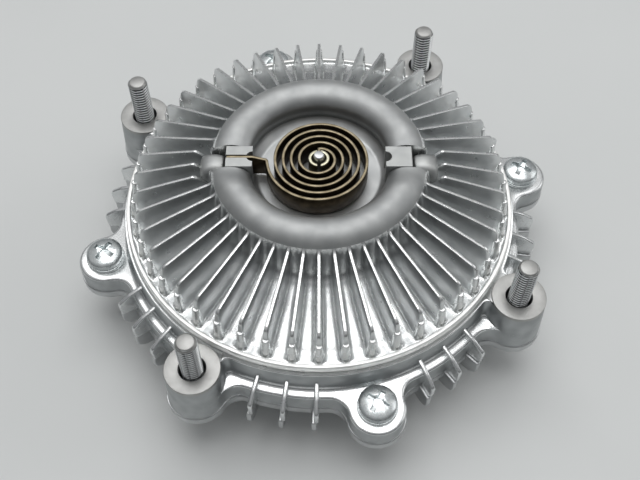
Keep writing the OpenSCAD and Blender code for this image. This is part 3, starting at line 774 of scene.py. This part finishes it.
def loop(z, ring, stud_a, stud_fillet, screw_a=None, screw_fillet=LOBE_FILLET):
    """One loop of the outline at a height. Without screw lobes those stretches follow the ring."""
    lobes = []
    for i in range(8):
        a, fillet = (stud_a, stud_fillet) if i % 2 == 0 else (screw_a, screw_fillet)
        if a is None:
            guide = [math.atan2(y, x) for x, y in lobe_points(FLANGE_R, SCREW_LOBE_R, LOBE_FILLET)]
            points = [(ring * math.cos(t), ring * math.sin(t)) for t in guide]
        else:
            points = lobe_points(ring, a, fillet)
        angles = [math.atan2(y, x) + math.radians(STUD_TURN + 45 * i) for x, y in points]
        lobes.append([(math.hypot(x, y), t) for (x, y), t in zip(points, angles)])
    made = []
    for i in range(8):
        last = lobes[i][-1][1]
        first = lobes[(i + 1) % 8][0][1] + (2 * math.pi if i == 7 else 0)
        edge = [(ring, last + (first - last) * k / EDGE_STEPS) for k in range(1, EDGE_STEPS)]
        made += lobes[i] + edge
    return np.array([(r * math.cos(t), r * math.sin(t), z) for r, t in made])


def round_loop(z, r, like):
    """A circle with as many columns as another loop, spread evenly across each lobe."""
    angles = np.unwrap(np.arctan2(like[:, 1], like[:, 0]))
    step = len(like) // 8
    across = step - EDGE_STEPS + 1
    for first in range(0, len(like), step):
        lobe = slice(first, first + across)
        angles[lobe] = np.linspace(angles[lobe][0], angles[lobe][-1], across)
    return np.stack([r * np.cos(angles), r * np.sin(angles), np.full(len(like), z)], 1)


FLANGE_EDGE = 1.3
WALL_FILLET = 1.6
WALL_FILLET_RISE = 2.6
BOSS_STEP = 0.8


def boss_a(z):
    """Radius of a stud boss at a height: it narrows towards its top."""
    return STUD_LOBE_R + (BOSS_R - STUD_LOBE_R) * (z - SEAM_Z) / (BOSS_TOP - SEAM_Z)


def flange_loop(z, inset):
    """The flange's outline, pulled in at its rounded edge except round the studs."""
    return loop(z, FLANGE_R - inset, boss_a(z), LOBE_FILLET + inset,
                SCREW_LOBE_R - inset, LOBE_FILLET + inset)


def wall_loop(z, grow):
    """The wall with the stud bosses, spread out where it runs into the flange and rounded at its top."""
    edge = min(grow, 0.0)
    return loop(z, WALL_R + grow, boss_a(z) + edge, BOSS_FILLET - edge)


def make_flange():
    """Flange, wall and stud bosses as one casting skin."""
    loops = [flange_loop(SEAM_Z, 0.25), flange_loop(SEAM_Z + 0.25, 0.0)]
    loops += [flange_loop(SEAT_Z - FLANGE_EDGE * (1 - math.sin(a)), FLANGE_EDGE * (1 - math.cos(a)))
              for a in QUARTER]
    loops += [wall_loop(SEAT_Z + WALL_FILLET_RISE * (1 - math.cos(a)), WALL_FILLET * (1 - math.sin(a)))
              for a in QUARTER]
    top = BOSS_TOP - BOSS_STEP
    loops += [wall_loop(top - 0.35, -0.1), wall_loop(top, -0.4)]
    loops.append(round_loop(top, RING_R - 0.4, loops[-1]))
    loops.append(round_loop(BOSS_TOP - 2, RING_R - 2, loops[-1]))
    loops.append(round_loop(SEAM_Z, RING_R - 2, loops[0]))
    made = mesh_object("cover_flange", np.vstack(loops), grid_faces(len(loops), len(loops[0]), True))
    stud_hole = rod("hole", STUD_HOLE_R, SEAM_Z - 1, BOSS_TOP + 1)
    screw_hole = rod("hole", SCREW_HOLE_R, SEAM_Z - 1, SEAT_Z + 1)
    holes = ring_of(stud_hole, STUD_CIRCLE_R, STUD_ANGLES) + ring_of(screw_hole, STUD_CIRCLE_R, SCREW_ANGLES)
    cut(made, holes)
    dress(smooth(made, 40.0), FLANGE, "cast_aluminium", "housing", "front_cover")
    # Upright faces take the darker side metal: painted shade.
    return face_finishes_and_shade(made, [SHADED_SIDE], lambda face: int(abs(face.normal.z) < 0.3))


def make_boss_tops():
    """The machined seats round the studs, a little above the cast neck behind them."""
    low = BOSS_TOP - BOSS_STEP - 0.6
    outline = rounded([
        (STUD_HOLE_R, low, 0), (BOSS_R, low, 0), (BOSS_R - 0.05, BOSS_TOP, 0.2),
        (STUD_HOLE_R, BOSS_TOP, 0.2),
    ], 3)
    seat = revolved("seat", outline, 96)
    made = join("boss_tops", ring_of(seat, STUD_CIRCLE_R, STUD_ANGLES))
    return dress(smooth(made), TURNED, "cast_aluminium", "housing", "front_cover")


def make_short_fins():
    """Short plates on the flange, three in each gap between lobes."""
    outline = rounded([
        (WALL_R - 1.5, SEAM_Z, 0), (SHORT_FIN_R - 0.4, SEAM_Z, 0), (SHORT_FIN_R, SEAT_Z - 1.0, 2.4),
        (SHORT_FIN_R - 5.0, SEAT_Z + 2.4, 4.0), (WALL_R - 0.2, SEAT_Z + 4.5, 0),
        (WALL_R - 1.5, SEAT_Z + 4.5, 0),
    ])
    fin = bevel(plate("short_fin", outline, SHORT_FIN_T), 0.6)
    made = join("short_fins", turned_copies(fin, SHORT_FIN_ANGLES))
    return dress(smooth(made), FLANGE, "cast_aluminium", "housing", "front_cover")


# Rear case: ring ridges that run between those of the rotor, and the groove of the seal
RIDGE_R = 39.0
RIDGE_STEP = 6.475
RIDGE_COUNT = 5
RIDGE_HALF = 1.0
GROOVE_IN_R = 72.85
GROOVE_OUT_R = 75.45
GROOVE_Z = 23.8
CASE_R = 76.4
HUB_BORE_R = 23.0
LOBE_FOOT_R = 9.6
LOBE_TOP_R = 10.2
LOBE_RIB_R = 81.0


def case_loop(z, grow):
    """The case's outline below the seam."""
    return loop(z, FLANGE_R + grow, STUD_LOBE_R + grow, LOBE_FILLET, SCREW_LOBE_R + grow, LOBE_FILLET)


def case_flange():
    """The flange of the rear case with a rounded lower edge."""
    edge = 1.2
    inner_r = RING_R - 0.5
    loops = [case_loop(SEAM_Z - 0.02, CASE_STEP - 0.2), case_loop(SEAM_Z - 0.25, CASE_STEP)]
    loops += [case_loop(CASE_FLANGE_Z + edge * (1 - math.sin(a)), CASE_STEP - edge * (1 - math.cos(a)))
              for a in QUARTER]
    loops.append(round_loop(CASE_FLANGE_Z, inner_r, loops[-1]))
    loops.append(round_loop(SEAM_Z - 0.02, inner_r, loops[0]))
    return mesh_object("case_flange", np.vstack(loops), grid_faces(len(loops), len(loops[0]), True))


def case_body():
    """Floor, hub and ring ridges of the rear case, turned about the axis."""
    ridges = []
    for i in range(RIDGE_COUNT):
        low = RIDGE_R + RIDGE_STEP * i - RIDGE_HALF
        high = low + 2 * RIDGE_HALF
        ridges += [(low, SEAM_Z), (low, HUB_TOP), (high, HUB_TOP), (high, SEAM_Z)]
    outline = [(HUB_BORE_R, HUB_TOP), (HUB_R, HUB_TOP), (HUB_R, SEAM_Z)] + ridges
    outline += [(GROOVE_IN_R, SEAM_Z), (GROOVE_IN_R, GROOVE_Z)]
    outline += [(GROOVE_OUT_R, GROOVE_Z), (GROOVE_OUT_R, SEAM_Z)]
    outline += [(CASE_R, SEAM_Z), (CASE_R, CASE_FLOOR_Z)]
    outline += arc((HUB_R + 3.0, CASE_FLOOR_Z - 3.0), 3.0, 90, 180, 6)
    outline += arc((HUB_R - 1.0, HUB_Z + 1.0), 1.0, 0, -90, 4)
    outline += [(BEARING_R + 0.5, HUB_Z), (BEARING_R, HUB_Z + 0.5)]
    outline += [(BEARING_R, BEARING_TOP), (HUB_BORE_R, BEARING_TOP)]
    return revolved("case_body", outline, 192)


def case_lobe(hole_r, angles):
    """Lower lobes with a rounded lower edge, bored for a stud or a screw."""
    outline = rounded([
        (hole_r, SEAM_Z - 1, 0), (hole_r, CASE_LOBE_Z, 0.4), (LOBE_FOOT_R, CASE_LOBE_Z, 1.2),
        (LOBE_TOP_R, SEAM_Z - 1, 0),
    ])
    return ring_of(revolved("case_lobe", outline, 64), STUD_CIRCLE_R, angles)


def case_ribs():
    """Ribs under the case: long ones end as the lower halves of the short fins, the rest in a lobe."""
    root = [(HUB_R - 1.5, CASE_FLOOR_Z + 1.5, 0), (HUB_R - 1.5, HUB_Z + 2, 0)]
    long_rib = rounded(root + [
        (WALL_R, RIB_END_Z, 4.0), (SHORT_FIN_R, RIB_END_Z, 5.0), (SHORT_FIN_R - 0.4, SEAM_Z - 0.2, 0),
        (WALL_R - 1.5, SEAM_Z - 0.2, 0), (WALL_R - 1.5, CASE_FLOOR_Z + 1.5, 0),
    ])
    lobe_rib = rounded(root + [(LOBE_RIB_R, CASE_LOBE_Z + 1, 0), (LOBE_RIB_R, CASE_FLOOR_Z + 1.5, 0)])
    long_ribs = bevel(plate("long_rib", long_rib, RIB_T), 0.6)
    lobe_ribs = bevel(plate("lobe_rib", lobe_rib, RIB_T), 0.6)
    made = turned_copies(long_ribs, [a + RIB_TURN for a in SHORT_FIN_ANGLES])
    return made + turned_copies(lobe_ribs, STUD_ANGLES + SCREW_ANGLES)


def make_case():
    """The rear casting."""
    lobes = case_lobe(STUD_SEAT_R, STUD_ANGLES) + case_lobe(SCREW_R, SCREW_ANGLES)
    made = join("case_casting", [case_flange(), case_body()] + lobes + case_ribs())
    # The darker case metal is painted shade under the cover's flange.
    return dress(smooth(made, 40.0), SHADED_CASE, "cast_aluminium", "housing", "rear_case")


# Fasteners. The pitch of the thread was read from the photograph.
THREAD_PITCH = 1.4
THREAD_DEPTH = 0.65
# Faces deeper than ROOT_DEPTH below the crest take the painted shade of the root.
ROOT_DEPTH = 0.26
THREAD_Z = BOSS_TOP - 6
THREAD_TOP = STUD_TOP - 1.1
CHAMFER_SLOPE = 0.9
STUD_END_R = 2.85
STUD_NECK_R = 3.5
STUD_HEAD_R = 6.5
STUD_HEAD_Z = CASE_LOBE_Z - 2.8
STUD_COLUMNS = np.arange(48) * 2 * math.pi / 48
RECESS_ARM = 4.4
RECESS_HALF = 1.0
RECESS_DEPTH = 2.6
RECESS_CORE_R = 2.1
RECESS_CORE_DEPTH = 3.2


def thread_radius(z):
    """Radius of a stud's thread at a height, for each column."""
    phase = (z / THREAD_PITCH - STUD_COLUMNS / (2 * math.pi)) % 1.0
    flank = np.clip((np.abs(2 * phase - 1) - 0.14) / 0.74, 0.0, 1.0)
    return STUD_R - THREAD_DEPTH * flank


def stud_row(r, z):
    """One row of points round a stud."""
    return np.stack([r * np.cos(STUD_COLUMNS), r * np.sin(STUD_COLUMNS), 0 * STUD_COLUMNS + z], 1)


def stud_finish_and_shade(face):
    """Which finish a face of a stud has: 1 near-black painted shade in the root of the thread, 2 on the flat
    end, else 0.
    """
    if face.center.z > THREAD_TOP * MM:
        return 2 if face.normal.z > 0.6 else 0
    r = math.hypot(*face.center[:2]) / MM
    return int(face.center.z > THREAD_Z * MM and r < STUD_R - ROOT_DEPTH)


def make_studs():
    """Four studs with a helical thread, a flat chamfered end and a head behind the case."""
    rows = [stud_row(r, z) for r, z in (
        (0, STUD_HEAD_Z), (STUD_HEAD_R - 0.3, STUD_HEAD_Z), (STUD_HEAD_R, STUD_HEAD_Z + 0.3),
        (STUD_HEAD_R, CASE_LOBE_Z), (STUD_SEAT_R, CASE_LOBE_Z), (STUD_SEAT_R, SEAM_Z), (STUD_NECK_R, SEAM_Z),
    )]
    for z in np.arange(THREAD_Z, STUD_TOP, THREAD_PITCH / 8):
        chamfer = STUD_R - max(0.0, z - THREAD_TOP) * CHAMFER_SLOPE
        rows.append(stud_row(np.minimum(thread_radius(z), chamfer), z))
    rows += [stud_row(STUD_END_R, STUD_TOP), stud_row(0, STUD_TOP)]
    stud = mesh_object("stud", np.vstack(rows), grid_faces(len(rows), len(STUD_COLUMNS), False))
    finishes_and_shade = [stud_finish_and_shade(face) for face in stud.data.polygons] * len(STUD_ANGLES)
    made = join("fan_stud_set", ring_of(stud, STUD_CIRCLE_R, STUD_ANGLES))
    dress(smooth(made, 34.0), THREAD, "zinc_plate", "housing", "fan_studs")
    # The roots of the thread take the near-black painted shade.
    return face_finishes_and_shade(made, [ROOT_SHADE, TURNED], lambda face: finishes_and_shade[face.index])


def make_screws():
    """Four pan head screws with a cross recess."""
    base = SEAT_Z + WASHER_T
    top = base + SCREW_HEAD_H
    side = base + 0.6 * SCREW_HEAD_H
    dome = (SCREW_HEAD_R ** 2 + (top - side) ** 2) / (2 * (top - side))
    reach = math.degrees(math.asin(SCREW_HEAD_R / dome))
    crown = arc((0, top - dome), dome, 90 - reach + 3, 90, 10)
    outline = [(0, CASE_LOBE_Z + 1.5), (SCREW_R, CASE_LOBE_Z + 1.5), (SCREW_R, base)]
    outline += [(SCREW_HEAD_R - 0.3, base), (SCREW_HEAD_R, base + 0.3), (SCREW_HEAD_R, side - 0.3)] + crown
    screw = revolved("screw", outline, 64)
    low = (-RECESS_ARM, -RECESS_HALF, top - RECESS_DEPTH)
    arms = turned_copies(box("arm", low, (RECESS_ARM, RECESS_HALF, top + 1)), [45, 135])
    core = rod("core", RECESS_CORE_R, top - RECESS_CORE_DEPTH, top + 1, columns=24)
    bevel(cut(screw, arms + [core]), 0.25, 2)
    made = join("case_screw_set", ring_of(screw, STUD_CIRCLE_R, SCREW_ANGLES))
    return dress(smooth(made), ZINC, "zinc_plate", "housing", "case_screws")


def make_washers():
    """Washers with rounded edges under the screw heads."""
    outline = rounded([
        (SCREW_HOLE_R, SEAT_Z, 0), (WASHER_R, SEAT_Z, 0.3), (WASHER_R, SEAT_Z + WASHER_T, 0.35),
        (SCREW_HOLE_R, SEAT_Z + WASHER_T, 0),
    ], 3)
    washer = revolved("washer", outline, 64)
    made = join("screw_washer_set", ring_of(washer, STUD_CIRCLE_R, SCREW_ANGLES))
    return dress(smooth(made), ZINC, "zinc_plate", "housing", "screw_washers")


# Coil and spindle. The strip leaves its last turn through a bend towards the lug. As in the
# photograph, its tab runs on to the end of the lug, a little below the top.
TAB_END_R = 34.7
TAB_SINK = 0.2
COIL_STEPS = 96
COIL_TANG = [(0.0, 3.15), (0.0, 4.2)]
COIL_BEND = [(0.0, -0.9), (-0.5, -0.25), (-1.6, 0.0)]
STRIP_EDGE = 0.18


def coil_path():
    """Centre line of the strip from the sleeve out to the lug."""
    steps = round(COIL_TURNS * COIL_STEPS)
    points = list(COIL_TANG)
    for i in range(steps + 1):
        a = math.radians(90 - 360 * i / COIL_STEPS)
        r = COIL_IN_R + COIL_PITCH * i / COIL_STEPS
        points.append((r * math.cos(a), r * math.sin(a)))
    last = points.pop()[0]
    points += [(last + x, y) for x, y in COIL_BEND]
    points += [(-LUG_IN_R, 0.0), (-TAB_R, 0.0), (-TAB_END_R, 0.0)]
    return np.array(points)


def make_coil():
    """The bimetal strip, from its inner end at the sleeve out to its tab in the lug."""
    path = coil_path()
    ahead = np.gradient(path, axis=0)
    ahead /= np.linalg.norm(ahead, axis=1)[:, None]
    across = np.stack([-ahead[:, 1], ahead[:, 0]], 1)
    half, edge = STRIP_T / 2, STRIP_EDGE
    low, high = COIL_Z, COIL_Z + STRIP_W
    section = [(half - edge, low), (half, low + edge), (half, high - edge), (half - edge, high),
               (edge - half, high), (-half, high - edge), (-half, low + edge), (edge - half, low)]
    rows = []
    for s, z in section:
        rows.append(np.column_stack([path + across * s, np.full(len(path), z)]))
    points = np.stack(rows, 1).reshape(-1, 3)
    in_lug = (points[:, 0] < -LUG_IN_R + 0.1) & (points[:, 2] > low + STRIP_W / 2)
    points[in_lug, 2] += LUG_TOP - TAB_SINK - high
    faces = grid_faces(len(path), len(section), False)
    last = len(points) - len(section)
    faces += [tuple(range(len(section)))[::-1], tuple(range(last, last + len(section)))]
    made = smooth(mesh_object("bimetal_strip", points, faces), 50.0)
    # The strip's upright sides take near-black metal, painted shade; its edges keep the strip's own colour.
    face_finishes_and_shade(made, [STRIP_SIDE_SHADE, BIMETAL], lambda face: int(abs(face.normal.z) > 0.4))
    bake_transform(made)
    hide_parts("bimetal_coil")
    return made


def make_spindle():
    """The valve spindle with its round pin."""
    groove = 0.7
    clip_z, clip_top = SPINDLE_Z + 1.8, SPINDLE_Z + 2.7
    outline = [(0, SPINDLE_Z), (SPINDLE_R, SPINDLE_Z), (SPINDLE_R, clip_z)]
    outline += [(SPINDLE_R - groove, clip_z), (SPINDLE_R - groove, clip_top), (SPINDLE_R, clip_top)]
    outline += [(SPINDLE_R, STEM_TOP), (PIN_R, STEM_TOP)]
    outline += arc((PIN_R - 0.5, PIN_TOP - 0.5), 0.5, 0, 90, 4) + [(0, PIN_TOP)]
    made = revolved("spindle_pin", outline, 48)
    return dress(smooth(made), STEEL, "steel", "valve", "valve_spindle")


def make_sleeve():
    """The slotted sleeve that holds the coil's inner end."""
    half = STRIP_T / 2 + 0.15
    outline = rounded([
        (SPINDLE_R, SLEEVE_Z, 0), (SLEEVE_R, SLEEVE_Z, 0.2), (SLEEVE_R, SLEEVE_TOP, 0.3),
        (SLEEVE_BORE_R, SLEEVE_TOP, 0.3), (SLEEVE_BORE_R, STEM_TOP + 0.05, 0),
        (SPINDLE_R, STEM_TOP + 0.05, 0),
    ], 3)
    made = revolved("coil_sleeve", outline, 64)
    cut(made, [box("slot", (-half, -SLEEVE_R - 1, COIL_Z - 0.3), (half, SLEEVE_R + 1, SLEEVE_TOP + 1))])
    bevel(made, 0.12, 2)
    return dress(smooth(made), BRASSY, "steel", "valve", "spindle_sleeve")


# Floor, camera and light

def make_floor():
    """A plain pale floor under the part."""
    low = cad_box[0].z
    reach = 3.0
    mesh = bpy.data.meshes.new("floor")
    corners = [(-reach, -reach, low), (reach, -reach, low), (reach, reach, low), (-reach, reach, low)]
    mesh.from_pydata(corners, [], [(0, 1, 2, 3)])
    floor = link("floor", mesh)
    material, tree, shader = node_material("pale_table")
    tone = ramp(tree, noise(tree, 6.0), [(0.3, (0.655, 0.672, 0.668)), (0.7, (0.685, 0.7, 0.695))])
    tree.links.new(tone, shader.inputs["Base Color"])
    shader.inputs["Roughness"].default_value = 0.55
    mesh.materials.append(material)


CAMERA_ELEVATION = 55.898
CAMERA_DISTANCE = 365.911
CAMERA_LENS = 51.19
CAMERA_TARGET = (0.385, -12.290, SEAT_Z)


def make_camera():
    """The camera where the photograph was taken from."""
    data = bpy.data.cameras.new("camera")
    data.lens = CAMERA_LENS
    data.sensor_width = 36.0
    data.sensor_fit = "HORIZONTAL"
    data.clip_start = 0.01
    camera = link("camera", data)
    e = math.radians(CAMERA_ELEVATION)
    back = Vector((0, -math.cos(e), math.sin(e)))
    camera.location = (Vector(CAMERA_TARGET) + back * CAMERA_DISTANCE) * MM
    camera.rotation_euler = (math.radians(90 - CAMERA_ELEVATION), 0, 0)
    bpy.context.scene.camera = camera


LAMP_AIM = (0, 0, 0.04)


def lamp(name, place, size, watts):
    """A rectangular lamp; place and size in metres."""
    data = bpy.data.lights.new(name, "AREA")
    data.shape = "RECTANGLE"
    data.size, data.size_y = size
    data.energy = watts
    made = link(name, data)
    made.location = place
    made.rotation_euler = (Vector(LAMP_AIM) - Vector(place)).to_track_quat("-Z", "Y").to_euler()


def make_light():
    """Soft studio light: lamps overhead, behind and at the right in a grey room, lighter above."""
    for k in range(6):
        lamp(f"overhead_{k}", (0, 0.2 - 0.1 * k, 1.4), (1.2, 0.05), 0.84)
    lamp("window", (-0.05, 0.6, 1.25), (1.2, 0.5), 4.6)
    lamp("side", (1.3, 0.2, 0.7), (0.8, 0.8), 2.2)
    world = bpy.data.worlds.new("room")
    world.use_nodes = True
    tree = world.node_tree
    coords = tree.nodes.new("ShaderNodeTexCoord")
    towards = tree.nodes.new("ShaderNodeVectorMath")
    towards.operation = "DOT_PRODUCT"
    towards.inputs[1].default_value = (-0.05, 0.2, 0.97)
    tree.links.new(coords.outputs["Generated"], towards.inputs[0])
    room = ramp(tree, towards.outputs["Value"], [
        (0.0, (0.1, 0.102, 0.104)), (0.3, (0.22, 0.225, 0.23)), (0.6, (0.42, 0.425, 0.43)),
        (1.0, (0.5, 0.5, 0.5)),
    ])
    tree.links.new(room, tree.nodes["Background"].inputs["Color"])
    tree.nodes["Background"].inputs["Strength"].default_value = 1.0
    bpy.context.scene.world = world
    bpy.context.scene.view_settings.view_transform = "Standard"


NODE_MATERIALS = {
    "rotor": CAST,
    "case_seal": RUBBER,
    "spindle_seal": RUBBER,
    "bearing_front_seal": RUBBER,
    "bearing_rear_seal": RUBBER,
    "bearing_cage": POLYMER,
}


def dress_nodes():
    """Materials for the CAD nodes that stay."""
    for name, obj in nodes.items():
        if obj.hide_render:
            continue
        obj.data.materials.clear()
        obj.data.materials.append(NODE_MATERIALS.get(name, STEEL))


make_camera()
make_floor()
make_light()
make_fins()
make_pads()
make_bowl()
make_lugs()
make_flange()
make_boss_tops()
make_short_fins()
make_case()
make_studs()
make_screws()
make_washers()
make_coil()
make_spindle()
make_sleeve()
dress_nodes()
